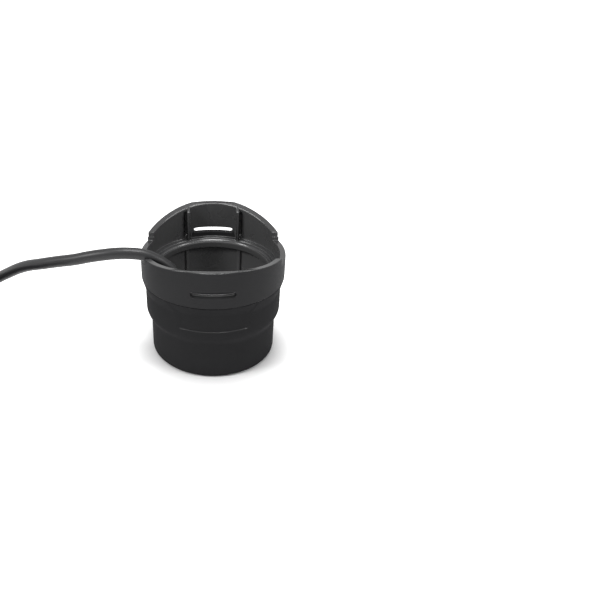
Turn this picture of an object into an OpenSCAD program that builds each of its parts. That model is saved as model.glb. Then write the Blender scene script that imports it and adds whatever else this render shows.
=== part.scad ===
// In-hull sonar transducer: a round cup with a sounding face, a swept collar and a coiled cable.
// Millimetres. The origin is the middle of the sounding face, +Z is up and -Y is the front.

/* [Lower housing] */
// Radius of the lower body
foot_r = 36.3; // [35:0.1:37.5]
// Height of the lower body up to its shoulder
foot_h = 22.5; // [17:0.1:24]
// Rounding of the bottom edge
foot_round = 2.5; // [0.5:0.1:3.5]
// Height of the shoulder between the lower body and the band
shoulder_h = 4.8; // [4:0.1:9]
// Radius of the middle band
band_r = 39; // [38.4:0.1:40]
// Height of the middle band
band_h = 14.2; // [12:0.1:18]
// Height of the flare between the band and the seam
flare_h = 6.4; // [4:0.1:8]
// How far the flare stands out over the band at the seam
flare_out = 1.7; // [1:0.1:2.5]
// Rounding of the corners of the shoulder and of the flare
shoulder_round = 6; // [2:0.5:8]
// Wall of the lower body
foot_wall = 3.5; // [2.5:0.1:4.5]
// Wall of the middle band
band_wall = 4.5; // [3.5:0.1:5]
// Thickness of the sounding face
face_t = 4; // [3:0.1:5]
// Angle of the ribs inside the cup from the middle of the front or rear
cup_rib_angle = 28; // [20:0.5:40]
// Width of a rib inside the cup
cup_rib_w = 2; // [1.2:0.1:3]
// How far a rib inside the cup stands out of its wall
cup_rib_d = 1.2; // [0.6:0.1:1.8]
// Height of the tongue that centres the collar
tongue_h = 1.5; // [0.8:0.1:2.5]
// Thickness of the tongue
tongue_t = 1.4; // [1:0.1:2]

/* [Front panel] */
// Half of the panel's width
panel_half_w = 19.5; // [12:0.5:24]
// Height of the panel's lower ledge
panel_z = 32.2; // [30:0.1:36]
// Depth of the panel
panel_d = 0.45; // [0.3:0.05:0.8]
// Angle between the panel's sides and the band, at which they run out
panel_side_angle = 14; // [8:1:60]

/* [Upper collar] */
// How far the collar stands out over the seam
collar_out = 0.3; // [0:0.1:1]
// Wall of the collar
collar_wall = 3.4; // [2.8:0.1:3.8]
// Thickness of the inward flange
flange_t = 5.1; // [3.5:0.1:6]
// Radius of the hole in the flange
flange_hole_r = 32; // [30:0.1:33.5]
// Rounding of the flange's inner edge
flange_round = 2.2; // [0.4:0.1:2.6]
// Width of the groove on top of the flange
groove_w = 0.8; // [0.5:0.1:1]
// Depth of that groove
groove_d = 0.6; // [0.3:0.1:1]
// Small chamfer on each side of the seam
seam_chamfer = 0.4; // [0.2:0.1:0.8]

/* [Collar rim] */
// Height of the rear top
rear_top_z = 75.2; // [72:0.1:78]
// Depth in Y at which the rear top starts
rear_flat_y = 38.6; // [38.4:0.1:39.5]
// Height of the rear shield at the valley
rear_low_z = 66; // [65.5:0.1:68]
// Height of the front top
front_top_z = 69.4; // [68:0.1:71]
// Depth in Y at which the front top starts
front_flat_y = 38.5; // [34:0.1:39.5]
// Height of the front rim at the valley
front_low_z = 65.8; // [65.4:0.1:67.5]
// Height of the sill in each side valley
sill_z = 61.4; // [58:0.1:62.5]
// Depth in Y from the axis to the rear end of a valley
valley_rear_y = 15.4; // [12:0.1:18]
// Depth in Y from the axis to the front end of a valley
valley_front_y = 17; // [14.5:0.1:20]
// Width of the small ledge at the rear end of a valley
ledge_w = 1.1; // [0.5:0.1:2]
// Height of that ledge above the sill
ledge_h = 2; // [1:0.1:3]
// Radius of the sweep of the rim, seen from the side
sweep_r = 122; // [90:1:200]

/* [Slots and ribs] */
// Length of each slot
slot_l = 24; // [16:0.5:26]
// Height of the front slot
front_slot_h = 3.5; // [2:0.1:4]
// Height of the rear slot
rear_slot_h = 3.1; // [2:0.1:4.5]
// Height of the middle of the front slot above the flange
front_slot_up = 3.1; // [2.6:0.1:5]
// Height of the middle of the rear slot above the flange
rear_slot_up = 4.5; // [2.6:0.05:6]
// Distance of each collar rib from the middle plane
rib_x = 14.7; // [14.5:0.1:17]
// Width of a collar rib
rib_w = 1.8; // [1.5:0.1:2.4]
// How far a collar rib stands out of its wall
rib_d = 3.4; // [1:0.1:3.6]
// Width of the groove beside each collar rib
relief_w = 2.1; // [1:0.1:2.4]
// Wall left behind that groove
relief_wall = 1.2; // [0.9:0.1:2]
// How far the groove starts above the flange and stops below the rim
relief_gap = 1.5; // [1:0.1:3]

/* [Sounding element] */
// Radius of the matching layer
match_r = 27; // [26:0.1:30]
// Thickness of the matching layer
match_t = 3; // [2:0.1:4]
// Radius of the ceramic disc
disc_r = 25; // [20:0.1:27]
// Thickness of the ceramic disc
disc_t = 10; // [8:0.1:11]
// Wall of the cork sleeve
cork_wall = 4; // [2.5:0.1:5]
// Thickness of the cork cap
cork_cap_t = 3; // [2:0.1:4]
// Radius of a lead from the disc to the board
lead_r = 0.6; // [0.4:0.1:1]

/* [Circuit board] */
// Length of the board
board_l = 44; // [42:0.5:48]
// Width of the board
board_w = 30; // [28:0.5:36]
// Thickness of the board
board_t = 1.6; // [1:0.1:2]
// Resin between the cork cap and the board
board_gap = 1.5; // [1:0.1:2]
// Outer radius of the ferrite ring
ferrite_r = 8; // [6:0.1:9]
// Radius of the hole in the ferrite ring
ferrite_hole_r = 4; // [2:0.1:5]
// Height of the ferrite ring
ferrite_h = 3.5; // [2.5:0.1:4]
// Resin over the ferrite ring
resin_cover = 1.4; // [1:0.1:2]

/* [Cable] */
// Diameter of the cable
cable_d = 6.6; // [5.6:0.1:6.8]
// Length of the gland above the resin
gland_up = 12; // [8:0.5:13]
// Length of the gland in the resin
gland_in = 2.5; // [1.5:0.1:2.8]
// Radius of the gland's foot
gland_foot_r = 8; // [7:0.1:9]
// Radius of the gland at its mouth
gland_mouth_r = 5; // [4.4:0.1:6]
// Thickness of the gland's foot above the resin
gland_foot_t = 2; // [1:0.1:3]
// Radius of one core of the cable
core_r = 0.7; // [0.5:0.1:0.9]
// Radial room between the cable and what it passes through
cable_room = 0.1; // [0.05:0.05:0.3]
// Height of the bell mouth of the gland
bell_h = 5; // [3:0.5:6]
// How far the bell mouth widens
bell_w = 0.8; // [0.5:0.1:1]

/* [Coil] */
// Radius of the middle of the coil's turns
coil_r = 47; // [44:0.5:48]
// Number of turns side by side
coil_wide = 5; // [4:1:6]
// Number of turns on top of each other
coil_high = 4; // [3:1:5]
// Thickness of a strap that holds the coil
tie_t = 1.2; // [0.8:0.1:1.8]
// Width of a strap as an angle of the coil
tie_angle = 12; // [8:1:16]

/* [Plug] */
// Length of the plug's boot
boot_l = 24; // [20:0.5:26]
// Radius of the boot at the cable
boot_tip_r = 4.6; // [4.2:0.1:5.2]
// Radius of the boot at the plug
boot_root_r = 6.6; // [5.8:0.1:7.4]
// Number of flex grooves in the boot
boot_grooves = 4; // [2:1:6]
// Length of the grip
grip_l = 18; // [14:0.5:20]
// Radius of the grip
grip_r = 8.6; // [8.2:0.1:9.4]
// Number of grip flutes
grip_flutes = 10; // [6:1:14]
// Length of the barrel in front of the grip
barrel_l = 17; // [16:0.5:19]
// Outer radius of the barrel
barrel_r = 6.2; // [5.9:0.1:6.4]
// Wall of the barrel
barrel_wall = 1; // [0.8:0.1:1.2]
// Outer radius of the coupling ring
ring_r = 10; // [9.6:0.1:10.2]
// Length of the coupling ring
ring_l = 14; // [13:0.5:16]
// Wall of the coupling ring's skirt
ring_wall = 1.6; // [1.2:0.1:1.8]
// Number of ridges round the coupling ring
ring_ridges = 20; // [12:1:28]
// Radius of the land that the coupling ring turns on
land_r = 7; // [6.9:0.05:7.2]
// Radial running clearance of the coupling ring
ring_clear = 0.08; // [0.05:0.01:0.1]
// Free play of the coupling ring along the plug
ring_play = 0.2; // [0.1:0.05:0.3]
// Radius of a contact pin
pin_r = 0.5; // [0.4:0.05:0.6]
// Number of contact pins in the circle
pin_count = 7; // [4:1:7]
// Thickness of the O-ring
seal_d = 1.4; // [1.2:0.1:1.6]

/* [Hidden] */
$fn = 96;

housing_black = [0.07, 0.07, 0.075];
rubber_black = [0.05, 0.05, 0.05];
far = 200;
// How far a cut reaches past the face that it opens
past = 1;

// Heights of the housing
band_z = foot_h + shoulder_h;
band_top_z = band_z + band_h;
seam_z = band_top_z + flare_h;
flange_z = seam_z + flange_t;
cup_r = band_r - band_wall;
bore_r = foot_r - foot_wall;
seam_r = band_r + flare_out;
collar_r = seam_r + collar_out;
collar_in_r = collar_r - collar_wall;
tongue_r = (cup_r + seam_r) / 2;
tongue_room = 0.1;
groove_r = flange_hole_r + flange_round;
rear_sweep = sweep_centre([valley_rear_y, rear_low_z], [rear_flat_y, rear_top_z], sweep_r);
front_sweep = sweep_centre([-front_flat_y, front_top_z], [-valley_front_y, front_low_z], sweep_r);
panel_run = 8;

// Heights of the sounding element and of the resin
disc_z = face_t + match_t;
cap_z = disc_z + disc_t;
board_z = cap_z + cork_cap_t + board_gap;
board_top_z = board_z + board_t;
resin_z = board_top_z + ferrite_h + resin_cover;
lead_spots = [[13, -7], [-7, 10]];
ferrite_spot = [10, 3];

// The cable's route from the board to the coil, chosen by hand
cable_route = [
    [-17.5, -12, 25], [-17.5, -12, 32], [-17.5, -12, 39.5], [-18.4, -12.1, 46.6], [-21.2, -12.4, 53.3],
    [-25.6, -12.8, 58.9], [-31.3, -13.2, 63.3], [-37.9, -13.4, 66.1], [-45, -13.4, 67],
    [-52.5, -13.3, 66.9], [-60, -12.7, 65.8], [-68, -11.4, 63.9], [-77, -9.2, 61], [-87, -5.6, 57.9],
    [-97, -1.6, 54.4], [-110, 6, 48.5], [-124, 15, 39], [-139, 24.5, 27.5], [-154, 32, 16.5],
    [-170, 36.6, 8], [-192.5, 38.2, 4.5]];
// The cable's route from the coil to the plug, chosen by hand
end_route = [
    [-244.6, 8.1, 24.5], [-249.2, -6, 27.5], [-250.2, -21.5, 30.5], [-247, -36, 33.5],
    [-239.5, -48.5, 36], [-228, -57.5, 37.6], [-214.5, -61, 38], [-202, -61, 38]];
tube_sides = 12;
cable_r = cable_d / 2;
cable_hole_r = cable_r + cable_room;
gland_step = 1;
gland_spot = cable_route[0];
coil_start = cable_route[len(cable_route) - 1];
coil_half_w = coil_wide * cable_d / 2;
coil_centre = [coil_start.x, coil_start.y - coil_r - coil_half_w + cable_r];
coil_h = coil_high * cable_d;
tie_angles = [-5, 125];

// The plug lies on the coil with its axis along +X
plug_room = 0.4;
plug_spot = [-212, -61, tie_t + coil_h + plug_room + ring_r];
barrel_x = boot_l + grip_l;
land_l = 3;
flange_x = barrel_x + ring_clear + ring_play + land_l;
flange_w = 1.8;
flange_up = 0.9;
plug_flange_r = land_r + flange_up;
boot_band = 2;
boot_groove_w = 1.6;
boot_groove_wall = 0.8;
flute_r = 1.2;
flute_end = 3;
ridge_r = 0.8;
ridge_end = 2;
ring_lip_w = flange_x - barrel_x - ring_play;
insert_l = 6;
insert_in = 2;
insert_x = barrel_x + insert_in;
pin_circle_r = 3.4;
pin_in = 1;
pin_out = 6;
socket_r = barrel_r - barrel_wall;
seal_room = 0.05;

// Points of an arc, for profiles
function arc(centre, r, from, to, steps = 6) =
    [for (i = [0:steps]) let (a = from + (to - from) * i / steps) centre + r * [cos(a), sin(a)]];

// Points of a rounding of radius r at corner b, on the way from a to c
function corner(a, b, c, r, steps = 4) =
    let (u = (a - b) / norm(a - b), v = (c - b) / norm(c - b), half = acos(u * v) / 2,
         centre = b + (u + v) / norm(u + v) * r / sin(half),
         from = b + u * r / tan(half) - centre, to = b + v * r / tan(half) - centre)
    [for (i = [0:steps]) let (w = from + (to - from) * i / steps) centre + r * w / norm(w)];

// Middle of the circle of radius r that passes through p and q and bulges down between them
function sweep_centre(p, q, r) =
    let (d = q - p, half = norm(d) / 2) (p + q) / 2 + sqrt(r * r - half * half) * [-d.y, d.x] / norm(d);

// Height of a swept rim at y, from the middle of its circle
function rim_height(centre, y) = centre.y - sqrt(sweep_r * sweep_r - (y - centre.x) * (y - centre.x));

// Direction of a route at point i
function heading(route, i) =
    let (d = route[min(i + 1, len(route) - 1)] - route[max(i - 1, 0)]) d / norm(d);

// Ring of points round a route at point i; side is a direction that the route never takes
function ring(route, i, r, side) =
    let (t = heading(route, i), c = cross(t, side), u = c / norm(c), v = cross(t, u))
    [for (k = [0:tube_sides - 1]) let (a = 360 * k / tube_sides) route[i] + r * (cos(a) * u + sin(a) * v)];

module tube(route, r, side) {
    rings = len(route);
    points = [for (i = [0:rings - 1]) each ring(route, i, r, side)];
    walls = [for (i = [0:rings - 2], k = [0:tube_sides - 1])
        let (a = i * tube_sides + k, b = i * tube_sides + (k + 1) % tube_sides)
        each [[a, a + tube_sides, b], [b, a + tube_sides, b + tube_sides]]];
    start = [[for (k = [0:tube_sides - 1]) k]];
    end = [[for (k = [tube_sides - 1:-1:0]) (rings - 1) * tube_sides + k]];
    polyhedron(points, concat(walls, start, end));
}

module sleeve(r, z0, z1, hole_r) {
    difference() {
        translate([0, 0, z0]) cylinder(r = r, h = z1 - z0);
        translate([0, 0, z0 - past]) cylinder(r = hole_r, h = z1 - z0 + 2 * past);
    }
}

// Space inside the cup, seen in section
module cup_space() {
    polygon([[0, face_t], [bore_r, face_t], [bore_r, foot_h], [cup_r, band_z], [cup_r, far], [0, far]]);
}

// Outline of the housing below the seam, seen in section
module housing_outline() {
    knee = [foot_r, foot_h];
    band_low = [band_r, band_z];
    band_high = [band_r, band_top_z];
    seam = [seam_r, seam_z - seam_chamfer];
    polygon(concat(
        [[0, 0]],
        arc([foot_r - foot_round, foot_round], foot_round, -90, 0),
        corner([foot_r, 0], knee, band_low, shoulder_round),
        corner(knee, band_low, band_high, shoulder_round),
        corner(band_low, band_high, seam, shoulder_round),
        [seam, [seam_r - seam_chamfer, seam_z], [0, seam_z]]));
}

module lower_housing() {
    color(housing_black) difference() {
        union() {
            rotate_extrude() difference() {
                housing_outline();
                cup_space();
            }
            sleeve(tongue_r + tongue_t / 2, seam_z - past, seam_z + tongue_h, tongue_r - tongue_t / 2);
            for (side = [-90, 90], s = [-1, 1])
                rotate(side + s * cup_rib_angle)
                    translate([cup_r - cup_rib_d, -cup_rib_w / 2, resin_z])
                        cube([cup_rib_d + band_wall / 2, cup_rib_w, seam_z - resin_z]);
        }
        front_panel();
    }
}

// Shallow bare panel on the front of the band, which runs out at its sides and in the flare above
module front_panel() {
    floor_r = band_r - panel_d;
    side_y = sqrt(band_r * band_r - panel_half_w * panel_half_w);
    rise = panel_run * tan(asin(panel_half_w / band_r) - panel_side_angle);
    inner_w = panel_half_w - panel_run;
    outer_w = panel_half_w + panel_run;
    intersection() {
        rotate_extrude() polygon([
            [floor_r, panel_z], [far, panel_z], [far, seam_z], [seam_r, seam_z], [floor_r, band_top_z]]);
        linear_extrude(far) polygon([
            [-outer_w, rise - side_y], [-inner_w, -rise - side_y], [inner_w, -rise - side_y],
            [outer_w, rise - side_y], [outer_w, -far], [-outer_w, -far]]);
    }
}

module slot(length, height, z, y) {
    reach = collar_wall * 3;
    translate([0, y, z]) rotate([90, 0, 0]) translate([0, 0, -reach]) {
        translate([-(length - height) / 2, -height / 2, 0]) cube([length - height, height, 2 * reach]);
        for (s = [-1, 1]) translate([s * (length - height) / 2, 0, 0]) cylinder(d = height, h = 2 * reach);
    }
}

// What is cut from the collar's wall to leave the swept rim
module rim_cuts() {
    translate([-far / 2, -valley_front_y, sill_z]) cube([far, valley_front_y + valley_rear_y - ledge_w, far]);
    translate([-far / 2, 0, sill_z + ledge_h]) cube([far, valley_rear_y, far]);
    intersection() {
        translate([-far / 2, rear_sweep.x, rear_sweep.y]) rotate([0, 90, 0]) cylinder(r = sweep_r, h = far, $fn = 360);
        translate([-far / 2, valley_rear_y - ledge_w, seam_z]) cube([far, rear_flat_y - valley_rear_y + ledge_w, far]);
    }
    intersection() {
        translate([-far / 2, front_sweep.x, front_sweep.y]) rotate([0, 90, 0]) cylinder(r = sweep_r, h = far, $fn = 360);
        translate([-far / 2, -front_flat_y, seam_z]) cube([far, front_flat_y - valley_front_y + past, far]);
    }
    translate([-far / 2, -far, front_top_z]) cube([far, far, far]);
}

// Vertical ribs inside the collar at its front and rear, higher than the rim that cuts them
module collar_ribs() {
    wall_y = sqrt(collar_in_r * collar_in_r - rib_x * rib_x);
    for (turn = [0, 180], s = [-1, 1]) rotate(turn)
        translate([s * rib_x - rib_w / 2, wall_y - rib_d, flange_z - past])
            cube([rib_w, rib_d + collar_wall / 2, rear_top_z - flange_z + 2 * past]);
}

// Groove in the collar's wall on the outer side of each rib, which starts under the rib
module rib_reliefs() {
    outer_x = rib_x + rib_w / 2 + relief_w;
    wall_y = sqrt(collar_in_r * collar_in_r - outer_x * outer_x) - past;
    floor_y = sqrt(collar_r * collar_r - outer_x * outer_x) - relief_wall;
    low_z = flange_z + relief_gap;
    rear_z = min(rear_top_z, rim_height(rear_sweep, wall_y)) - relief_gap;
    front_z = min(front_top_z, rim_height(front_sweep, -wall_y)) - relief_gap;
    for (side = [[0, rear_z], [180, front_z]], s = [-1, 1]) rotate(side[0])
        translate([min(s * rib_x, s * outer_x), wall_y, low_z])
            cube([outer_x - rib_x, floor_y - wall_y, side[1] - low_z]);
}

module upper_collar() {
    color(housing_black) difference() {
        union() {
            difference() {
                rotate_extrude() polygon(concat(
                    [[flange_hole_r, seam_z], [collar_r - seam_chamfer, seam_z],
                     [collar_r, seam_z + seam_chamfer], [collar_r, rear_top_z],
                     [collar_in_r, rear_top_z], [collar_in_r, flange_z]],
                    arc([flange_hole_r + flange_round, flange_z - flange_round], flange_round, 90, 180)));
                sleeve(groove_r + groove_w, flange_z - groove_d, flange_z + past, groove_r);
                rib_reliefs();
            }
            collar_ribs();
        }
        rim_cuts();
        slot(slot_l, front_slot_h, flange_z + front_slot_up, -collar_r);
        slot(slot_l, rear_slot_h, flange_z + rear_slot_up, collar_r);
        sleeve(tongue_r + tongue_t / 2 + tongue_room, seam_z - past, seam_z + tongue_h + tongue_room,
               tongue_r - tongue_t / 2 - tongue_room);
    }
}

module matching_layer() {
    color([0.55, 0.5, 0.35]) translate([0, 0, face_t]) cylinder(r = match_r, h = match_t);
}

module ceramic_disc() {
    color([0.75, 0.68, 0.55]) translate([0, 0, disc_z]) cylinder(r = disc_r, h = disc_t);
}

module backing_ring() {
    color([0.6, 0.42, 0.25]) sleeve(disc_r + cork_wall, disc_z, cap_z, disc_r);
}

module backing_cap() {
    color([0.62, 0.44, 0.27]) difference() {
        translate([0, 0, cap_z]) cylinder(r = disc_r + cork_wall, h = cork_cap_t);
        for (p = lead_spots) translate([p.x, p.y, cap_z - past]) cylinder(r = lead_r, h = cork_cap_t + 2 * past);
    }
}

module element_leads() {
    color([0.75, 0.3, 0.15])
        for (p = lead_spots) translate([p.x, p.y, cap_z]) cylinder(r = lead_r, h = board_z - cap_z);
}

module circuit_board() {
    color([0.1, 0.35, 0.2]) translate([-board_l / 2, -board_w / 2, board_z]) cube([board_l, board_w, board_t]);
}

module tuning_core() {
    color([0.25, 0.25, 0.27]) translate(ferrite_spot)
        sleeve(ferrite_r, board_top_z, board_top_z + ferrite_h, ferrite_hole_r);
}

module core_wires() {
    color([0.8, 0.5, 0.2]) for (i = [0:2])
        translate([gland_spot.x, gland_spot.y, board_top_z]) rotate(120 * i) translate([cable_r / 2, 0, 0])
            cylinder(r = core_r, h = gland_spot.z - board_top_z);
}

// Outside of the gland, with its foot sunk in the resin
module gland_outline() {
    translate([gland_spot.x, gland_spot.y, resin_z]) {
        translate([0, 0, -gland_in]) cylinder(r = gland_foot_r, h = gland_in + gland_foot_t);
        translate([0, 0, gland_foot_t])
            cylinder(r1 = gland_foot_r - gland_step, r2 = gland_mouth_r, h = gland_up - gland_foot_t);
    }
}

module cable_hole() {
    translate(gland_spot) cylinder(r = cable_hole_r, h = far);
}

module potting_fill() {
    color([0.12, 0.12, 0.13]) difference() {
        rotate_extrude() intersection() {
            cup_space();
            square([far, resin_z]);
        }
        matching_layer();
        translate([0, 0, disc_z]) cylinder(r = disc_r + cork_wall, h = disc_t + cork_cap_t);
        element_leads();
        circuit_board();
        tuning_core();
        core_wires();
        gland_outline();
        cable_hole();
    }
}

module cable_gland() {
    mouth_z = resin_z + gland_up;
    color(rubber_black) difference() {
        gland_outline();
        cable_hole();
        translate([gland_spot.x, gland_spot.y, mouth_z - bell_h])
            cylinder(r1 = cable_hole_r, r2 = cable_hole_r + bell_w, h = bell_h);
    }
}

module cable_run() {
    color(rubber_black) tube(cable_route, cable_r, [0, 1, 0]);
}

module coil_section(grow) {
    w = coil_half_w + grow;
    c = cable_r;
    translate([coil_r, tie_t]) polygon([
        [-w + c, -grow], [w - c, -grow], [w, c - grow], [w, coil_h - c + grow],
        [w - c, coil_h + grow], [-w + c, coil_h + grow], [-w, coil_h - c + grow], [-w, c - grow]]);
}

module cable_coil() {
    color(rubber_black) translate(coil_centre) rotate_extrude() coil_section(0);
}

module coil_ties() {
    color([0.15, 0.15, 0.16]) for (a = tie_angles)
        translate(coil_centre) rotate(a - tie_angle / 2) rotate_extrude(angle = tie_angle) difference() {
            coil_section(tie_t);
            coil_section(0);
        }
}

module cable_end() {
    color(rubber_black) tube(end_route, cable_r, [0, 0, 1]);
}

// Puts what is drawn along +Z onto the plug's axis
module on_plug() {
    translate(plug_spot) rotate([0, 90, 0]) children();
}

module plug_boot() {
    pitch = (boot_l - 2 * boot_band) / (boot_grooves + 1);
    color(rubber_black) on_plug() difference() {
        cylinder(r1 = boot_tip_r, r2 = boot_root_r, h = boot_l);
        translate([0, 0, -past]) cylinder(r = cable_hole_r, h = boot_l + 2 * past);
        for (i = [1:boot_grooves])
            sleeve(far, i * pitch, i * pitch + boot_groove_w, cable_hole_r + boot_groove_wall);
    }
}

module plug_body() {
    color([0.06, 0.06, 0.06]) on_plug() difference() {
        union() {
            translate([0, 0, boot_l]) cylinder(r = grip_r, h = grip_l);
            translate([0, 0, barrel_x]) cylinder(r = land_r, h = flange_x - barrel_x);
            translate([0, 0, flange_x]) cylinder(r = plug_flange_r, h = flange_w);
            translate([0, 0, flange_x]) cylinder(r = barrel_r, h = barrel_l - (flange_x - barrel_x));
        }
        translate([0, 0, insert_x]) cylinder(r = socket_r, h = barrel_l);
        for (i = [0:grip_flutes - 1]) rotate(360 * i / grip_flutes)
            translate([grip_r + flute_r / 2, 0, boot_l + flute_end])
                cylinder(r = flute_r, h = grip_l - 2 * flute_end);
    }
}

module coupling_ring() {
    color([0.08, 0.08, 0.085]) on_plug() translate([0, 0, barrel_x + ring_play / 2]) difference() {
        cylinder(r = ring_r, h = ring_l);
        translate([0, 0, -past]) cylinder(r = land_r + ring_clear, h = ring_l + 2 * past);
        translate([0, 0, ring_lip_w]) cylinder(r = ring_r - ring_wall, h = ring_l);
        for (i = [0:ring_ridges - 1]) rotate(360 * i / ring_ridges)
            translate([ring_r + ridge_r / 2, 0, ridge_end]) cylinder(r = ridge_r, h = ring_l - 2 * ridge_end);
    }
}

module plug_insert() {
    color([0.2, 0.2, 0.22]) on_plug() difference() {
        translate([0, 0, insert_x]) cylinder(r = socket_r, h = insert_l);
        pin_places() cylinder(r = pin_r, h = far);
    }
}

// One place for each contact, a circle of them and one in the middle
module pin_places() {
    translate([0, 0, insert_x + pin_in]) {
        children();
        for (i = [0:pin_count - 1]) rotate(360 * i / pin_count) translate([pin_circle_r, 0, 0]) children();
    }
}

module contact_pins() {
    color([0.85, 0.7, 0.35]) on_plug() pin_places() cylinder(r = pin_r, h = insert_l - pin_in + pin_out);
}

module plug_seal() {
    color([0.1, 0.1, 0.1]) on_plug() translate([0, 0, flange_x + flange_w]) rotate_extrude()
        translate([barrel_r + seal_room + seal_d / 2, seal_room + seal_d / 2]) circle(d = seal_d);
}

lower_housing();
upper_collar();
matching_layer();
ceramic_disc();
backing_ring();
backing_cap();
element_leads();
circuit_board();
tuning_core();
core_wires();
potting_fill();
cable_gland();
cable_run();
cable_coil();
coil_ties();
cable_end();
plug_boot();
plug_body();
coupling_ring();
plug_insert();
contact_pins();
plug_seal();
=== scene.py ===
"""Looks of an in-hull sonar transducer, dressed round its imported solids.

Blender 4.5, in metres, in the frame of the solids: the origin is the middle of the
sounding face, +Z is up and -Y is the front.
"""

import logging
import math
from collections.abc import Callable, Iterator
from contextlib import contextmanager
from dataclasses import dataclass, field, replace
from enum import Enum, IntEnum

import bpy
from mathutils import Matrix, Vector


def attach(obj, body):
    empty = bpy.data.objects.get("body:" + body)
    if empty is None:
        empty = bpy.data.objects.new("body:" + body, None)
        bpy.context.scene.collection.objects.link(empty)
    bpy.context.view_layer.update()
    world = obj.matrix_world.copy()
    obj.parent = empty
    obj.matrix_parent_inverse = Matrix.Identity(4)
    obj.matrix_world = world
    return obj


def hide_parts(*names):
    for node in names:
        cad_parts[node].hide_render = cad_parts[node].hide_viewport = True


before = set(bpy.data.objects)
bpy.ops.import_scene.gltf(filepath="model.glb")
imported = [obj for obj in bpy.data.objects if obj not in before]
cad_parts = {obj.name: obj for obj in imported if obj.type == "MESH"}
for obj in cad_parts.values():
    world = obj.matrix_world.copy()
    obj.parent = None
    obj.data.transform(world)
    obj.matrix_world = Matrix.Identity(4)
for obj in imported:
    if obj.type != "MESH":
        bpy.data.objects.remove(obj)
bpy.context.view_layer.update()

log = logging.getLogger("sonar_transducer")
MM = 0.001
Colour = tuple[float, float, float]
Point = tuple[float, float, float]
Piece = bpy.types.Object
Socket = bpy.types.NodeSocket
Tree = bpy.types.NodeTree
WHITE: Colour = (1.0, 1.0, 1.0)


class Body(Enum):
    """Bodies that pieces ride on."""

    TRANSDUCER = "transducer"
    RING = "ring"


class Skin(IntEnum):
    """Material slots of a piece, by the kind of face."""

    SURFACE = 0
    EDGE = 1
    CORE = 2


class Graph:
    """Nodes of one material, group or world, added and linked in few words."""

    def __init__(self, tree: Tree) -> None:
        """Keeps the tree that the nodes go into."""
        self.tree = tree

    def add(self, kind: str, inputs: dict | None = None, **settings: object) -> bpy.types.Node:
        """Adds a node.

        Args:
            kind: Blender's name of the node type.
            inputs: value or source socket for each input, by name or by number.
            settings: properties of the node itself.

        Returns:
            The new node.
        """
        node = self.tree.nodes.new(kind)
        for name, value in settings.items():
            setattr(node, name, value)
        for key, value in (inputs or {}).items():
            if isinstance(value, Socket):
                self.link(value, node.inputs[key])
            else:
                node.inputs[key].default_value = value
        return node

    def link(self, source: Socket, target: Socket) -> None:
        """Links two sockets."""
        self.tree.links.new(source, target)

    def group(self, tree: Tree, inputs: dict) -> bpy.types.Node:
        """Places a node group with its own values."""
        return self.add("ShaderNodeGroup", inputs, node_tree=tree)

    def math(self, operation: str, first: object, second: object = 0.0) -> Socket:
        """Adds a math node and returns its result."""
        return self.add("ShaderNodeMath", {0: first, 1: second}, operation=operation).outputs[0]

    def noise(self, point: object, scale: object, detail: float) -> Socket:
        """Adds a noise texture and returns its value."""
        inputs = {"Vector": point, "Scale": scale, "Detail": detail}
        return self.add("ShaderNodeTexNoise", inputs).outputs[0]

    def mix(self, share: object, first: object, second: object) -> Socket:
        """Mixes two colours and returns the result."""
        node = self.add("ShaderNodeMix", {0: share, 6: first, 7: second}, data_type="RGBA")
        return node.outputs[2]

    def ramp(self, value: object, low: float, high: float) -> Socket:
        """Maps a value from low..high to 0..1, clamped, and returns the result."""
        inputs = {0: value, 1: low, 2: high}
        return self.add("ShaderNodeMapRange", inputs, interpolation_type="SMOOTHSTEP").outputs[0]

    def split(self, vector: Socket, axis: str) -> Socket:
        """Returns one part of a vector."""
        return self.add("ShaderNodeSeparateXYZ", {0: vector}).outputs[axis]

    def red(self, colour: Socket) -> Socket:
        """Returns the red of a colour."""
        return self.add("ShaderNodeSeparateColor", {0: colour}).outputs[0]


def opaque(colour: Colour) -> tuple[float, float, float, float]:
    """Returns the colour with full alpha."""
    return (*colour, 1.0)


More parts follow.
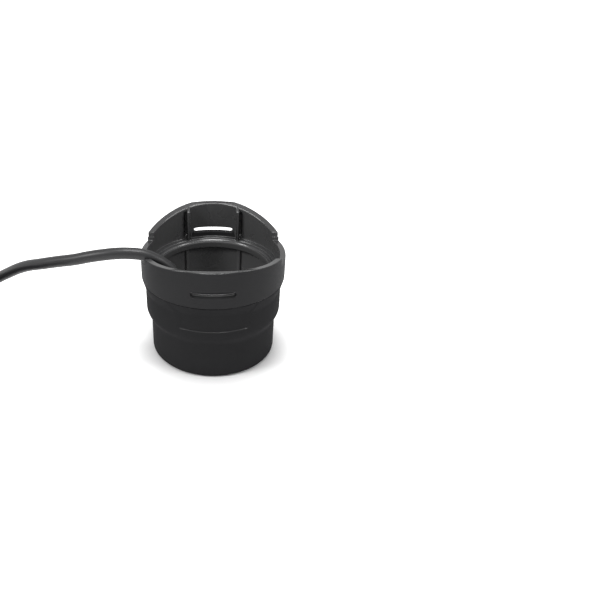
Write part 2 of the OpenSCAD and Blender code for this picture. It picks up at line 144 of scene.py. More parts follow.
class Effects:
    """Shader node groups that several finishes share, each built once."""

    FINE_DETAIL = 3.0
    SLOW_DETAIL = 4.0
    PIT_SCALE = 0.6
    PIT_DEPTH = 0.5
    SPECK_SIZE = (0.05, 0.16)
    SPECK_CHANCE = (0.75, 0.95)
    UPWARD = (0.1, 0.9)
    DUST_COLOUR: Colour = (0.35, 0.34, 0.32)

    def __init__(self) -> None:
        """Builds the groups."""
        self.grain = self._grain()
        self.drift = self._drift()
        self.dust = self._dust()

    @staticmethod
    def _group(name: str, inputs: dict[str, str], outputs: dict[str, str]
               ) -> tuple[Graph, bpy.types.Node, bpy.types.Node]:
        """Starts a group.

        Args:
            name: name of the group.
            inputs: socket type of each input, by name.
            outputs: socket type of each output, by name.

        Returns:
            The group's graph, its input node and its output node.
        """
        tree = bpy.data.node_groups.new(name, "ShaderNodeTree")
        for socket, kind in inputs.items():
            tree.interface.new_socket(socket, in_out="INPUT", socket_type="NodeSocket" + kind)
        for socket, kind in outputs.items():
            tree.interface.new_socket(socket, in_out="OUTPUT", socket_type="NodeSocket" + kind)
        graph = Graph(tree)
        return graph, graph.add("NodeGroupInput"), graph.add("NodeGroupOutput")

    def _grain(self) -> Tree:
        """Spark-eroded grain of a mould: fine noise over small pits."""
        graph, given, result = self._group(
            "Mould grain", {"Vector": "Vector", "Scale": "Float"}, {"Height": "Float"})
        point, scale = given.outputs["Vector"], given.outputs["Scale"]
        fine = graph.noise(point, scale, self.FINE_DETAIL)
        pit_scale = graph.math("MULTIPLY", scale, self.PIT_SCALE)
        pits = graph.add("ShaderNodeTexVoronoi", {"Vector": point, "Scale": pit_scale})
        shallow = graph.math("MULTIPLY", pits.outputs["Distance"], self.PIT_DEPTH)
        graph.link(graph.math("ADD", fine, shallow), result.inputs["Height"])
        return graph.tree

    def _drift(self) -> Tree:
        """Slow drift of a colour and of a roughness over a surface."""
        graph, given, result = self._group(
            "Tone drift",
            {"Vector": "Vector", "Scale": "Float", "Colour": "Color", "Colour Spread": "Float",
             "Roughness": "Float", "Roughness Spread": "Float"},
            {"Colour": "Color", "Roughness": "Float"})
        slow = graph.noise(given.outputs["Vector"], given.outputs["Scale"], self.SLOW_DETAIL)
        either_way = graph.math("MULTIPLY", graph.math("SUBTRACT", slow, 0.5), 2.0)
        change = graph.math("MULTIPLY", either_way, given.outputs["Colour Spread"])
        tone = graph.add("ShaderNodeHueSaturation", {
            "Color": given.outputs["Colour"], "Value": graph.math("ADD", change, 1.0)})
        spread = graph.math("MULTIPLY", either_way, given.outputs["Roughness Spread"])
        roughness = graph.math("ADD", spread, given.outputs["Roughness"])
        graph.link(tone.outputs["Color"], result.inputs["Colour"])
        graph.link(roughness, result.inputs["Roughness"])
        return graph.tree

    def _dust(self) -> Tree:
        """Sparse pale specks that settle on faces which look up."""
        graph, given, result = self._group(
            "Settled dust",
            {"Vector": "Vector", "Scale": "Float", "Amount": "Float", "Colour": "Color"},
            {"Colour": "Color"})
        cells = graph.add("ShaderNodeTexVoronoi", {
            "Vector": given.outputs["Vector"], "Scale": given.outputs["Scale"]})
        apart = graph.ramp(cells.outputs["Distance"], *self.SPECK_SIZE)
        specks = graph.math("SUBTRACT", 1.0, apart)
        rare = graph.ramp(graph.red(cells.outputs["Color"]), *self.SPECK_CHANCE)
        normal = graph.add("ShaderNodeNewGeometry").outputs["Normal"]
        upward = graph.ramp(graph.split(normal, "Z"), *self.UPWARD)
        mask = graph.math("MULTIPLY", graph.math("MULTIPLY", specks, rare), upward)
        mask = graph.math("MULTIPLY", mask, given.outputs["Amount"])
        dusty = graph.mix(mask, given.outputs["Colour"], opaque(self.DUST_COLOUR))
        graph.link(dusty, result.inputs["Colour"])
        return graph.tree


@dataclass
class Look:
    """Sockets that a finish hands to its shader."""

    colour: Socket
    roughness: Socket
    height: Socket


@dataclass(frozen=True)
class Finish:
    """A moulded or cast finish with a fine grain, a slow drift of tone and a little dust.

    The sizes are the width of a grain, its depth and the width of a patch of tone. The cells that
    may hold a speck of dust are counted per metre.
    """

    slot: str
    colour: Colour
    roughness: float
    specular: float = 0.5
    metallic: float = 0.0
    grain_size: float = 0.4 * MM
    grain_depth: float = 0.012 * MM
    colour_spread: float = 0.12
    roughness_spread: float = 0.05
    patch_size: float = 14 * MM
    dust: float = 0.0
    dust_cells: float = 700.0

    def material(self, effects: Effects) -> bpy.types.Material:
        """Builds the material of the finish.

        Args:
            effects: the shared node groups.

        Returns:
            A material named for the finish's slot.
        """
        material = bpy.data.materials.new("finish_" + self.slot)
        material.use_nodes = True
        graph = Graph(material.node_tree)
        shader = graph.tree.nodes["Principled BSDF"]
        point = graph.add("ShaderNodeTexCoord").outputs["Object"]
        look = self.pattern(graph, effects, point)
        bump = graph.add("ShaderNodeBump", {
            "Strength": 1.0, "Distance": self.grain_depth, "Height": look.height})
        shader.inputs["Metallic"].default_value = self.metallic
        shader.inputs["Specular IOR Level"].default_value = self.specular
        graph.link(look.colour, shader.inputs["Base Color"])
        graph.link(look.roughness, shader.inputs["Roughness"])
        graph.link(bump.outputs["Normal"], shader.inputs["Normal"])
        return material

    def pattern(self, graph: Graph, effects: Effects, point: Socket) -> Look:
        """Lays out colour, roughness and height over the surface.

        Args:
            graph: the material's nodes.
            effects: the shared node groups.
            point: object coordinates.

        Returns:
            The sockets for the shader.
        """
        drift = graph.group(effects.drift, {
            "Vector": point, "Scale": 1 / self.patch_size, "Colour": opaque(self.colour),
            "Colour Spread": self.colour_spread, "Roughness": self.roughness,
            "Roughness Spread": self.roughness_spread})
        grain = graph.group(effects.grain, {"Vector": point, "Scale": 1 / self.grain_size})
        dust = graph.group(effects.dust, {
            "Vector": point, "Scale": self.dust_cells, "Amount": self.dust,
            "Colour": drift.outputs["Colour"]})
        return Look(dust.outputs["Colour"], drift.outputs["Roughness"], grain.outputs["Height"])


@dataclass(frozen=True)
class WovenFinish(Finish):
    """Tape or cloth woven from crossing threads."""

    thread: float = 0.5 * MM
    thread_height: float = 0.6
    shade_span: float = 1.2
    dark_share: float = 0.45

    def pattern(self, graph: Graph, effects: Effects, point: Socket) -> Look:
        """Adds crossing threads to the plain pattern, with painted shade that darkens the low parts
        of the weave.
        """
        look = super().pattern(graph, effects, point)
        angles = [
            graph.math("MULTIPLY", graph.split(point, axis), 2 * math.pi / self.thread)
            for axis in ("X", "Y", "Z")]
        waves = [graph.math("SINE", angle) for angle in angles]
        weave = graph.math("MULTIPLY", waves[0], waves[1])
        weave = graph.math("ADD", weave, graph.math("MULTIPLY", waves[1], waves[2]))
        raised = graph.math("MULTIPLY", weave, self.thread_height)
        height = graph.math("ADD", look.height, raised)
        # Painted shade: the low parts of the weave take the darker colour.
        shade = graph.ramp(weave, -self.shade_span, self.shade_span)
        dark = opaque(tuple(self.dark_share * c for c in self.colour))
        return Look(graph.mix(shade, dark, look.colour), look.roughness, height)


@dataclass(frozen=True)
class GranuleFinish(Finish):
    """Pressed granules of different tones, as in cork or sintered powder."""

    granule: float = 1.6 * MM
    dark_share: float = 0.45

    def pattern(self, graph: Graph, effects: Effects, point: Socket) -> Look:
        """Tints each granule by itself."""
        look = super().pattern(graph, effects, point)
        cells = graph.add("ShaderNodeTexVoronoi", {"Vector": point, "Scale": 1 / self.granule})
        tint = graph.red(cells.outputs["Color"])
        dark = opaque(tuple(self.dark_share * c for c in self.colour))
        height = graph.math("SUBTRACT", look.height, cells.outputs["Distance"])
        return Look(graph.mix(tint, dark, look.colour), look.roughness, height)


@dataclass(frozen=True)
class TurnedFinish(Finish):
    """Metal or plastic with the fine rings that turning leaves round the X axis."""

    line_pitch: float = 0.12 * MM
    line_height: float = 0.4

    def pattern(self, graph: Graph, effects: Effects, point: Socket) -> Look:
        """Adds rings along X to the plain pattern."""
        look = super().pattern(graph, effects, point)
        along = graph.math("MULTIPLY", graph.split(point, "X"), 2 * math.pi / self.line_pitch)
        rings = graph.math("SINE", along)
        height = graph.math("ADD", look.height, graph.math("MULTIPLY", rings, self.line_height))
        return Look(look.colour, look.roughness, height)


CUP = Finish("housing_plastic", (0.0205, 0.0205, 0.0215), 0.85, specular=0.06, dust=0.05)
COLLAR = replace(CUP, colour=(0.019, 0.019, 0.02), roughness=0.66, specular=0.14)
# Rims, faces that look up and rounded edges: glossier, and a lighter colour that is a painted
# highlight.
HOUSING_EDGE_LIT = replace(CUP, colour=(0.03, 0.03, 0.031), roughness=0.2, specular=0.5,
                       grain_depth=0.003 * MM)
# Polished walls inside, lighter than the grained outside: the gloss is the polish, and the lighter
# colour is painted light standing in for light that reaches the inside.
COLLAR_CORE_LIT = replace(CUP, colour=(0.07, 0.07, 0.071), roughness=0.28, specular=0.8,
                      grain_depth=0.003 * MM)
CUP_CORE_LIT = replace(COLLAR_CORE_LIT, colour=(0.095, 0.095, 0.096))
RESIN = Finish("potting_resin", (0.012, 0.012, 0.013), 0.16, specular=0.5, grain_size=9 * MM,
               grain_depth=0.12 * MM, roughness_spread=0.08, dust=0.12)
JACKET = Finish("cable_jacket", (0.011, 0.011, 0.012), 0.4, specular=0.4, grain_size=0.9 * MM,
                grain_depth=0.01 * MM, patch_size=22 * MM, dust=0.04)
RUBBER = Finish("gland_rubber", (0.016, 0.016, 0.017), 0.62, specular=0.3, grain_size=0.3 * MM,
                grain_depth=0.02 * MM, dust=0.08)
STRAP = WovenFinish("tie_strap", (0.03, 0.03, 0.032), 0.85, specular=0.2, grain_depth=0.06 * MM,
                    dust=0.1)
PLUG = Finish("plug_plastic", (0.017, 0.017, 0.018), 0.46, specular=0.36, dust=0.05)
RING = Finish("ring_plastic", (0.022, 0.022, 0.024), 0.38, specular=0.4, dust=0.05)
INSERT = Finish("insert_plastic", (0.05, 0.05, 0.055), 0.5, specular=0.4)
CONTACT = TurnedFinish("contact_metal", (0.83, 0.6, 0.25), 0.2, metallic=1.0,
                       grain_depth=0.003 * MM)
SEAL = Finish("seal_rubber", (0.02, 0.02, 0.02), 0.5, specular=0.4, grain_size=0.3 * MM)
EPOXY = Finish("matching_epoxy", (0.42, 0.36, 0.22), 0.4)
CERAMIC = GranuleFinish("piezo_ceramic", (0.62, 0.54, 0.4), 0.6, granule=0.3 * MM, dark_share=0.85)
CORK = GranuleFinish("cork", (0.45, 0.29, 0.15), 0.8, grain_depth=0.08 * MM)
COPPER = TurnedFinish("copper_wire", (0.72, 0.36, 0.18), 0.3, metallic=1.0)
LAMINATE = WovenFinish("board_laminate", (0.03, 0.19, 0.09), 0.35, thread=0.8 * MM,
                       grain_depth=0.01 * MM)
FERRITE = GranuleFinish("ferrite", (0.05, 0.05, 0.055), 0.6, granule=0.4 * MM, dark_share=0.7)


class Palette:
    """Materials of the finishes, each built when it is first asked for."""

    def __init__(self) -> None:
        """Builds the shared groups."""
        self.effects = Effects()
        self.built: dict[Finish, bpy.types.Material] = {}

    def dress(self, piece: Piece, finish: Finish, *others: Finish) -> None:
        """Gives a piece its finish.

        Args:
            piece: a solid's object or a new piece.
            finish: the finish of its surface.
            others: where they differ, the finish of its edges and then of its core.
        """
        materials = piece.data.materials
        for index, wanted in enumerate((finish, *(others or (finish,)))):
            if wanted not in self.built:
                self.built[wanted] = wanted.material(self.effects)
            if index < len(materials):
                materials[index] = self.built[wanted]
            else:
                materials.append(self.built[wanted])


class Bench:
    """Modelling steps that several pieces share."""

    MERGE_WITHIN = 0.001 * MM
    SLIVER = 0.0002 * MM
    FLAT = math.radians(0.5)
    EDGE = math.radians(30)
    SHARP = math.radians(40)
    ROUND_STEPS = 3

    @staticmethod
    def only(piece: Piece) -> None:
        """Makes a piece the one that is selected and active."""
        bpy.ops.object.select_all(action="DESELECT")
        piece.select_set(True)
        bpy.context.view_layer.objects.active = piece

    @staticmethod
    def apply(piece: Piece, name: str, kind: str, **settings: object) -> None:
        """Adds a modifier and applies it.

        Args:
            piece: the piece to change.
            name: name of the modifier.
            kind: Blender's name of the modifier type.
            settings: properties of the modifier.
        """
        Bench.only(piece)
        modifier = piece.modifiers.new(name, kind)
        for key, value in settings.items():
            setattr(modifier, key, value)
        bpy.ops.object.modifier_apply(modifier=name)

    @staticmethod
    def settle(piece: Piece) -> None:
        """Puts a piece's place into its mesh."""
        Bench.only(piece)
        bpy.ops.object.transform_apply(location=True, rotation=True, scale=True)

    @staticmethod
    @contextmanager
    def editing(piece: Piece) -> Iterator[None]:
        """Opens a piece in edit mode with all of it selected, and closes it afterwards."""
        Bench.only(piece)
        bpy.ops.object.mode_set(mode="EDIT")
        bpy.ops.mesh.select_all(action="SELECT")
        yield
        bpy.ops.object.mode_set(mode="OBJECT")

    @staticmethod
    def pick(piece: Piece, kind: str, wanted: Callable[[object], bool]) -> int:
        """Selects vertices or faces of a piece in edit mode, which stays open.

        Args:
            piece: the piece to select in.
            kind: VERT or FACE.
            wanted: tells whether a vertex or face is to be selected.

        Returns:
            How many are selected.
        """
        with Bench.editing(piece):
            bpy.ops.mesh.select_mode(type=kind)
            bpy.ops.mesh.select_all(action="DESELECT")
        elements = piece.data.vertices if kind == "VERT" else piece.data.polygons
        for element in elements:
            element.select = wanted(element)
        count = sum(element.select for element in elements)
        bpy.ops.object.mode_set(mode="EDIT")
        return count

    @staticmethod
    def round_edges(piece: Piece, width: float, segments: int, **settings: object) -> None:
        """Rounds the edges of a piece that are sharper than a limit, with a bevel.

        Args:
            piece: the piece to change.
            width: width of the rounding.
            segments: steps of the rounding.
            settings: further properties of the bevel.
        """
        Bench.apply(piece, "edge_rounding", "BEVEL", width=width, segments=segments,
                    limit_method="ANGLE", **settings)

    @staticmethod
    def smooth(piece: Piece) -> None:
        """Shades a piece smooth, apart from sharp edges, with flat faces kept flat."""
        Bench.only(piece)
        bpy.ops.object.shade_smooth_by_angle(angle=Bench.SHARP)
        Bench.apply(piece, "flat_faces", "WEIGHTED_NORMAL", keep_sharp=True)

    @staticmethod
    def rounded_copy(node: str, name: str, rounding: float) -> Piece:
        """Copies a solid, merges its loose triangles and rounds its sharp edges.

        Args:
            node: name of the solid.
            name: name of the new piece.
            rounding: width of the rounding.

        Returns:
            The new piece, which stands for the solid.
        """
        piece = bpy.data.objects.new(name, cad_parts[node].data.copy())
        bpy.context.scene.collection.objects.link(piece)
        with Bench.editing(piece):
            bpy.ops.mesh.customdata_custom_splitnormals_clear()
            bpy.ops.mesh.remove_doubles(threshold=Bench.MERGE_WITHIN)
            bpy.ops.mesh.tris_convert_to_quads(face_threshold=Bench.FLAT, shape_threshold=math.pi)
        Bench.round_edges(piece, rounding, Bench.ROUND_STEPS, angle_limit=Bench.EDGE,
                          use_clamp_overlap=False, material=Skin.EDGE)
        with Bench.editing(piece):
            bpy.ops.mesh.dissolve_degenerate(threshold=Bench.SLIVER)
        Bench.smooth(piece)
        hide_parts(node)
        return piece

    @staticmethod
    def ride(piece: Piece, body: Body) -> None:
        """Puts a piece on its body and reports it."""
        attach(piece, body.value)
        log.info("%s rides on %s", piece.name, body.value)


@dataclass(frozen=True)
class Lamp:
    """A square soft lamp, with the length of its side and its power in watts."""

    name: str
    place: Point
    power: float
    side: float = 0.4

    def hang(self, target: Point) -> None:
        """Hangs the lamp so that it looks at a target."""
        aim = Vector(target) - Vector(self.place)
        turn = aim.to_track_quat("-Z", "Y").to_euler()
        bpy.ops.object.light_add(type="AREA", location=self.place, rotation=turn)
        lamp = bpy.context.active_object
        lamp.name = self.name
        lamp.data.size = self.side
        lamp.data.energy = self.power


@dataclass
class Studio:
    """Camera, floor and soft light.

    The floor glows for the eye from a distance on, so that it is seen as white there and keeps the
    shadow near the object.
    """

    camera_place: Point = (0.0, -0.3333, 0.2315)
    camera_tilt: float = 59.7
    lens: float = 39.6
    sensor: float = 36.0
    shift: tuple[float, float] = (0.1448, -0.0183)
    near_clip: float = 0.01
    floor_side: float = 12.0
    floor_colour: Colour = (0.85, 0.85, 0.85)
    floor_roughness: float = 0.9
    floor_specular: float = 0.1
    floor_glow: float = 0.6
    glow_centre: Point = (0.0, -0.018, 0.0)
    glow_from: float = 0.028
    glow_to: float = 0.072
    sky: float = 0.42
    target: Point = (0.0, 0.0, 0.04)
    lamps: tuple[Lamp, ...] = (
        Lamp("key_lamp", (-1.05, -0.4, 1.0), 10.0),
        Lamp("fill_lamp", (1.05, -0.4, 1.0), 5.0),
        Lamp("top_lamp", (0.0, -0.05, 1.2), 10.5))

    def build(self) -> None:
        """Builds the whole studio."""
        self.camera()
        self.floor()
        self.world()
        for lamp in self.lamps:
            lamp.hang(self.target)
        bpy.context.scene.view_settings.view_transform = "Standard"

    def camera(self) -> None:
        """Sets the camera where the photograph was taken from."""
        turn = (math.radians(self.camera_tilt), 0.0, 0.0)
        bpy.ops.object.camera_add(location=self.camera_place, rotation=turn)
        camera = bpy.context.active_object
        camera.name = "photo_camera"
        camera.data.lens = self.lens
        camera.data.sensor_width = self.sensor
        camera.data.shift_x, camera.data.shift_y = self.shift
        camera.data.clip_start = self.near_clip
        bpy.context.scene.camera = camera

    @staticmethod
    def seen_rays(graph: Graph) -> Socket:
        """Returns 1 for rays of the camera, a reflection or a refraction, and 0 for others."""
        path = graph.add("ShaderNodeLightPath")
        seen = graph.math("MAXIMUM", path.outputs["Is Camera Ray"], path.outputs["Is Glossy Ray"])
        return graph.math("MAXIMUM", seen, path.outputs["Is Transmission Ray"])

    def floor(self) -> None:
        """Lays a plain pale floor."""
        bpy.ops.object.select_all(action="DESELECT")
        bpy.ops.mesh.primitive_plane_add(size=self.floor_side)
        floor = bpy.context.active_object
        floor.name = "studio_floor"
        material = bpy.data.materials.new("studio_floor")
        material.use_nodes = True
        graph = Graph(material.node_tree)
        shader = graph.tree.nodes["Principled BSDF"]
        shader.inputs["Base Color"].default_value = opaque(self.floor_colour)
        shader.inputs["Roughness"].default_value = self.floor_roughness
        shader.inputs["Specular IOR Level"].default_value = self.floor_specular
        shader.inputs["Emission Color"].default_value = opaque(WHITE)
        point = graph.add("ShaderNodeTexCoord").outputs["Object"]
        ends = {0: point, 1: self.glow_centre}
        away = graph.add("ShaderNodeVectorMath", ends, operation="DISTANCE")
        share = graph.ramp(away.outputs["Value"], self.glow_from, self.glow_to)
        glow = graph.math("MULTIPLY", share, self.floor_glow)
        seen = graph.math("MULTIPLY", self.seen_rays(graph), glow)
        graph.link(seen, shader.inputs["Emission Strength"])
        floor.data.materials.append(material)

    def world(self) -> None:
        """Fills the room with even light, seen as white."""
        world = bpy.data.worlds.new("studio_room")
        world.use_nodes = True
        bpy.context.scene.world = world
        graph = Graph(world.node_tree)
        background = graph.tree.nodes["Background"]
        background.inputs["Color"].default_value = opaque(WHITE)
        seen = graph.math("MULTIPLY", self.seen_rays(graph), 1.0 - self.sky)
        graph.link(graph.math("ADD", seen, self.sky), background.inputs["Strength"])


@dataclass
class Housing:
    """The moulded cup and the collar on it.

    The ribs behind the front wall end lower than those of the solid. The slots go through the wall
    within a height and a half width.
    """

    cup_rounding: float = 0.25 * MM
    collar_rounding: float = 0.45 * MM
    rib_top: float = 60 * MM
    rib_sides: tuple[float, float] = (13 * MM, 17.5 * MM)
    ribs_within: float = 37.6 * MM
    rib_drop: float = 3 * MM
    core_limit: float = 0.3
    up_limit: float = 0.6
    wall_from: float = 37.5 * MM
    slot_half: float = 13 * MM
    slots_z: tuple[float, float] = (52 * MM, 61 * MM)

    def build(self, palette: Palette) -> None:
        """Rounds the edges of both mouldings and dresses them."""
        cup = Bench.rounded_copy("lower_housing", "housing_cup", self.cup_rounding)
        collar = Bench.rounded_copy("upper_collar", "housing_collar", self.collar_rounding)
        self.lower_front_ribs(collar)
        # The edge and core finishes are glossier and lighter than the surface: the lighter colours
        # are a painted highlight and painted light.
        for piece, finish, core in ((cup, CUP, CUP_CORE_LIT), (collar, COLLAR, COLLAR_CORE_LIT)):
            palette.dress(piece, finish, HOUSING_EDGE_LIT, core)
            self.polish_and_light_faces(piece)
            Bench.ride(piece, Body.TRANSDUCER)

    def on_front_rib(self, vertex: bpy.types.MeshVertex) -> bool:
        """Tells whether a vertex is at the top of a rib behind the front wall."""
        at = vertex.co
        in_front = at.y < 0.0 and at.xy.length < self.ribs_within
        on_rib = self.rib_sides[0] < abs(at.x) < self.rib_sides[1]
        return in_front and on_rib and at.z > self.rib_top

    def lower_front_ribs(self, collar: Piece) -> None:
        """Moves the tops of the ribs behind the front wall down, below the rim."""
        count = Bench.pick(collar, "VERT", self.on_front_rib)
        bpy.ops.transform.translate(value=(0.0, 0.0, -self.rib_drop))
        bpy.ops.object.mode_set(mode="OBJECT")
        log.info("%d vertices of front ribs moved", count)

    def in_slot(self, place: Vector) -> bool:
        """Tells whether a place is in one of the slots through the wall."""
        in_wall = place.xy.length > self.wall_from and abs(place.x) < self.slot_half
        return in_wall and self.slots_z[0] < place.z < self.slots_z[1]

    def polish_and_light_faces(self, piece: Piece) -> None:
        """Gives faces that look up the edges' finish, whose lighter colour is a painted highlight,
        and faces that look inwards the core's, whose lighter colour is painted light.
        """
        for face in piece.data.polygons:
            if self.in_slot(face.center):
                continue
            across = Vector((face.center.x, face.center.y, 0.0))
            outwards = across.normalized().dot(face.normal)
            if face.normal.z > self.up_limit:
                face.material_index = Skin.EDGE
            elif outwards > self.core_limit or face.normal.z < -self.core_limit:
                face.material_index = Skin.SURFACE
            elif face.material_index == Skin.SURFACE:
                face.material_index = Skin.CORE


@dataclass
class SoundingElement:
    """What is cast into the cup: solids that keep their shape and get their finish."""

    finishes: dict[str, Finish] = field(default_factory=lambda: {
        "matching_layer": EPOXY, "ceramic_disc": CERAMIC, "backing_ring": CORK, "backing_cap": CORK,
        "element_leads": COPPER, "circuit_board": LAMINATE, "tuning_core": FERRITE,
        "core_wires": COPPER, "potting_fill": RESIN})

    def dress(self, palette: Palette) -> None:
        """Dresses each solid."""
        for node, finish in self.finishes.items():
            palette.dress(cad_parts[node], finish)
            log.info("%s dressed", node)


@dataclass
class Cable:
    """The free cable: out of the gland, over the left valley, down to its coil and on to the plug.

    The coil is wound in layers, each turn in a lane of its own, and the last share of a turn shifts
    over to the next lane.
    """

    diameter: float = 6.6 * MM
    length: float = 6.0
    route_mm: tuple[Point, ...] = (
        (-17.5, -12, 25), (-17.5, -12, 32), (-17.5, -12, 39.5), (-18.4, -12.1, 46.6),
        (-21.2, -12.4, 53.3), (-25.6, -12.8, 58.9), (-31.3, -13.2, 63.3), (-37.9, -13.4, 66.1),
        (-45, -13.4, 67), (-52.5, -13.3, 66.9), (-60, -12.7, 65.8), (-68, -11.4, 63.9),
        (-77, -9.2, 61), (-87, -5.6, 57.9), (-97, -1.6, 54.4), (-110, 6, 48.5), (-124, 15, 39),
        (-139, 24.5, 27.5), (-154, 32, 16.5), (-170, 36.6, 8), (-192.5, 38.2, 4.5))
    end_route_mm: tuple[Point, ...] = (
        (-244.6, 8.1, 24.5), (-249.2, -6, 27.5), (-250.2, -21.5, 30.5), (-247, -36, 33.5),
        (-239.5, -48.5, 36), (-228, -57.5, 37.6), (-214.5, -61, 38), (-202, -61, 38))
    exit_mm: Point = (-17.5, -12, 40)
    coil_radius: float = 47 * MM
    coil_wide: int = 5
    coil_layers: int = 4
    start_angle: float = 90.0
    turns: float = 19 + 1 / 6
    points_per_turn: int = 24
    shift_share: float = 0.22
    round_steps: int = 6
    knot_steps: int = 6

    def lane(self, index: int) -> tuple[float, float]:
        """Place of one turn in the coil's section.

        Args:
            index: number of the turn, from 0 at the bottom outside.

        Returns:
            The turn's radius and its height above the first turn.
        """
        layer, step = divmod(index, self.coil_wide)
        inwards = step if layer % 2 == 0 else self.coil_wide - 1 - step
        outermost = self.coil_radius + (self.coil_wide - 1) / 2 * self.diameter
        return outermost - inwards * self.diameter, layer * self.diameter

    def coil_centre(self) -> Vector:
        """Returns the middle of the coil, at the height of its first turn."""
        return Vector(self.route_mm[-1]) * MM - Vector((0.0, self.lane(0)[0], 0.0))

    def coil_point(self, turn: float) -> Vector:
        """Returns the point of the coil after a number of turns from the end of the route."""
        whole = int(turn)
        share = min(max((turn - whole - 1 + self.shift_share) / self.shift_share, 0.0), 1.0)
        share = share * share * (3 - 2 * share)
        lanes = zip(self.lane(whole), self.lane(whole + 1))
        radius, height = (here + (there - here) * share for here, there in lanes)
        angle = math.radians(self.start_angle) + 2 * math.pi * turn
        out = Vector((radius * math.cos(angle), radius * math.sin(angle), height))
        return self.coil_centre() + out

    def points(self) -> list[Vector]:
        """Returns the points of the whole cable, from the gland to the plug."""
        route = [Vector(p) * MM for p in self.route_mm]
        steps = round(self.turns * self.points_per_turn)
        coil = [self.coil_point(i / self.points_per_turn) for i in range(1, steps)]
        return route + coil + [Vector(p) * MM for p in self.end_route_mm]

    def build(self, palette: Palette, on_it: list[Piece]) -> None:
        """Builds the cable as one smooth spline.

        Args:
            palette: the materials.
            on_it: pieces that are on the cable; not used.
        """
        curve = bpy.data.curves.new("transducer_cable", "CURVE")
        curve.dimensions = "3D"
        curve.bevel_depth = self.diameter / 2
        curve.bevel_resolution = self.round_steps
        curve.resolution_u = self.knot_steps
        curve.use_fill_caps = True
        spline = curve.splines.new("BEZIER")
        places = self.points()
        spline.bezier_points.add(len(places) - 1)
        for knot, place in zip(spline.bezier_points, places):
            knot.co = place
            knot.handle_left_type = knot.handle_right_type = "AUTO"
        cable = bpy.data.objects.new("transducer_cable", curve)
        bpy.context.scene.collection.objects.link(cable)
        palette.dress(cable, JACKET)
        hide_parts("cable_run", "cable_coil", "cable_end")
        Bench.ride(cable, Body.TRANSDUCER)


@dataclass
class Gland:
    """The rubber boot where the cable leaves the resin."""

    rounding: float = 0.5 * MM

    def build(self, palette: Palette) -> None:
        """Rounds the boot's edges and dresses it."""
        piece = Bench.rounded_copy("cable_gland", "gland_boot", self.rounding)
        palette.dress(piece, RUBBER)
        Bench.ride(piece, Body.TRANSDUCER)


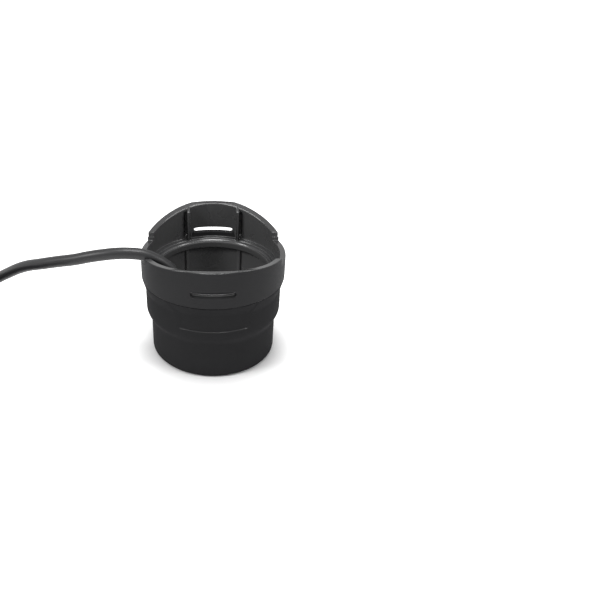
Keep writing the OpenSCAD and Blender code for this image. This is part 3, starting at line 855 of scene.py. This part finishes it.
@dataclass
class CoilStraps:
    """Two woven straps round the coil, each drawn through a buckle and folded back on itself.

    They are built on the +X side of the coil's middle and then turned to their angles.
    """

    cable: Cable
    angles: tuple[float, float] = (-5.0, 125.0)
    width: float = 10 * MM
    thickness: float = 0.9 * MM
    corner: float = 3.4 * MM
    corner_steps: int = 5
    rounding: float = 0.2 * MM
    round_steps: int = 2
    tail_end: float = -11 * MM
    buckle_at: float = 8 * MM
    buckle_size: Point = (8 * MM, 14 * MM, 2.0 * MM)
    buckle_frame: float = 1.8 * MM
    flat_limit: float = 0.9

    def __post_init__(self) -> None:
        """Takes the coil's place and section from the cable."""
        middle = self.cable.coil_centre()
        self.centre = Vector((middle.x, middle.y, 0.0))
        self.radius = self.cable.coil_radius
        self.wide = self.cable.coil_wide * self.cable.diameter
        self.tall = self.cable.coil_layers * self.cable.diameter
        self.bottom = middle.z - self.cable.diameter / 2
        self.top = self.bottom + self.tall

    def build(self, palette: Palette) -> list[Piece]:
        """Builds the straps with their buckles and returns them."""
        pieces = []
        for number, angle in enumerate(self.angles, start=1):
            strap = self.strap(f"coil_strap_{number}")
            buckle = self.buckle(f"coil_buckle_{number}")
            for piece, finish in ((strap, STRAP), (buckle, PLUG)):
                piece.location = self.centre
                piece.rotation_euler.z = math.radians(angle)
                Bench.settle(piece)
                Bench.smooth(piece)
                palette.dress(piece, finish)
                Bench.ride(piece, Body.TRANSDUCER)
            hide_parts("coil_ties")
            pieces += [strap, buckle]
        return pieces

    def loop(self, name: str, gap: float) -> Piece:
        """Lays a band round the coil's section.

        Args:
            name: name of the band.
            gap: distance of the band's middle from the section.

        Returns:
            The band, as a sheet with no thickness.
        """
        bpy.ops.object.select_all(action="DESELECT")
        middle = (self.radius, self.width / 2, self.bottom + self.tall / 2)
        upright = (math.pi / 2, 0.0, 0.0)
        bpy.ops.mesh.primitive_plane_add(size=1.0, location=middle, rotation=upright)
        band = bpy.context.active_object
        band.name = name
        band.scale = (self.wide + 2 * gap, self.tall + 2 * gap, 1.0)
        Bench.settle(band)
        across = {"value": (0.0, -self.width, 0.0)}
        with Bench.editing(band):
            bpy.ops.mesh.bevel(offset=self.corner, segments=self.corner_steps, affect="VERTICES")
            bpy.ops.mesh.delete(type="ONLY_FACE")
            bpy.ops.mesh.select_all(action="SELECT")
            bpy.ops.mesh.extrude_edges_move(TRANSFORM_OT_translate=across)
        return band

    def strap(self, name: str) -> Piece:
        """Builds one strap: the band round the coil, and its tail folded back on top."""
        tail = self.loop("strap_tail", 1.5 * self.thickness)
        cuts = (
            ((0.0, 0.0, self.top), (0.0, 0.0, 1.0)),
            ((self.radius + self.tail_end, 0.0, 0.0), (1.0, 0.0, 0.0)),
            ((self.radius + self.buckle_at, 0.0, 0.0), (-1.0, 0.0, 0.0)))
        with Bench.editing(tail):
            for place, normal in cuts:
                bpy.ops.mesh.select_all(action="SELECT")
                bpy.ops.mesh.bisect(plane_co=place, plane_no=normal, clear_inner=True)
        band = self.loop(name, self.thickness / 2)
        tail.select_set(True)
        bpy.ops.object.join()
        with Bench.editing(band):
            bpy.ops.mesh.normals_make_consistent(inside=False)
        Bench.apply(band, "woven_thickness", "SOLIDIFY", thickness=self.thickness, offset=0.0)
        Bench.round_edges(band, self.rounding, self.round_steps, angle_limit=Bench.SHARP)
        return band

    def buckle(self, name: str) -> Piece:
        """Builds one buckle, a flat frame that the strap goes through."""
        bpy.ops.object.select_all(action="DESELECT")
        place = (self.radius + self.buckle_at, 0.0, self.top + self.thickness)
        bpy.ops.mesh.primitive_cube_add(size=1.0, location=place)
        buckle = bpy.context.active_object
        buckle.name = name
        buckle.scale = self.buckle_size
        Bench.settle(buckle)
        Bench.pick(buckle, "FACE", lambda face: abs(face.normal.z) > self.flat_limit)
        bpy.ops.mesh.inset(thickness=self.buckle_frame, use_individual=True)
        bpy.ops.mesh.bridge_edge_loops()
        bpy.ops.object.mode_set(mode="OBJECT")
        Bench.round_edges(buckle, 2 * self.rounding, Bench.ROUND_STEPS, angle_limit=Bench.SHARP)
        return buckle


@dataclass
class Plug:
    """The plug at the cable's end, with its turning ring."""

    moulded: tuple[tuple[str, float, Finish, Body], ...] = (
        ("plug_boot", 0.3 * MM, RUBBER, Body.TRANSDUCER),
        ("plug_body", 0.35 * MM, PLUG, Body.TRANSDUCER),
        ("coupling_ring", 0.3 * MM, RING, Body.RING),
        ("plug_insert", 0.15 * MM, INSERT, Body.TRANSDUCER),
        ("contact_pins", 0.2 * MM, CONTACT, Body.TRANSDUCER))
    thread_start: Point = (-163.6 * MM, -61 * MM, 38 * MM)
    thread_radius: float = 8.3 * MM
    thread_size: float = 0.5 * MM
    thread_pitch: float = 1.25 * MM
    thread_turns: int = 5
    thread_sides: int = 3
    thread_steps: int = 40

    def build(self, palette: Palette) -> list[Piece]:
        """Builds the plug's pieces and returns them."""
        pieces = []
        for node, rounding, finish, body in self.moulded:
            piece = Bench.rounded_copy(node, node + "_finished", rounding)
            palette.dress(piece, finish)
            Bench.ride(piece, body)
            pieces.append(piece)
        thread = self.thread("coupling_thread")
        palette.dress(thread, RING)
        Bench.ride(thread, Body.RING)
        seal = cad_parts["plug_seal"]
        palette.dress(seal, SEAL)
        return pieces + [thread, seal]

    def thread(self, name: str) -> Piece:
        """Winds the coupling ring's inner thread, a ridge that runs round the plug's axis."""
        bpy.ops.object.select_all(action="DESELECT")
        bpy.ops.mesh.primitive_circle_add(
            vertices=self.thread_sides, radius=self.thread_size, fill_type="NOTHING",
            rotation=(math.pi / 2, 0.0, 0.0))
        thread = bpy.context.active_object
        thread.name = name
        thread.location = (0.0, 0.0, self.thread_radius)
        Bench.settle(thread)
        Bench.apply(thread, "thread_turns", "SCREW", axis="X", angle=2 * math.pi,
                    screw_offset=self.thread_pitch, iterations=self.thread_turns,
                    steps=self.thread_steps, render_steps=self.thread_steps)
        with Bench.editing(thread):
            bpy.ops.mesh.fill_holes(sides=self.thread_sides)
            bpy.ops.mesh.select_all(action="SELECT")
            bpy.ops.mesh.normals_make_consistent(inside=False)
        thread.location = self.thread_start
        Bench.settle(thread)
        Bench.smooth(thread)
        return thread


def main() -> None:
    """Builds every sub-assembly in order."""
    logging.basicConfig(level=logging.INFO, format="%(name)s: %(message)s")
    palette = Palette()
    Studio().build()
    Housing().build(palette)
    SoundingElement().dress(palette)
    Gland().build(palette)
    cable = Cable()
    on_cable = CoilStraps(cable).build(palette) + Plug().build(palette)
    cable.build(palette, on_cable)


if __name__ == "__main__":
    main()
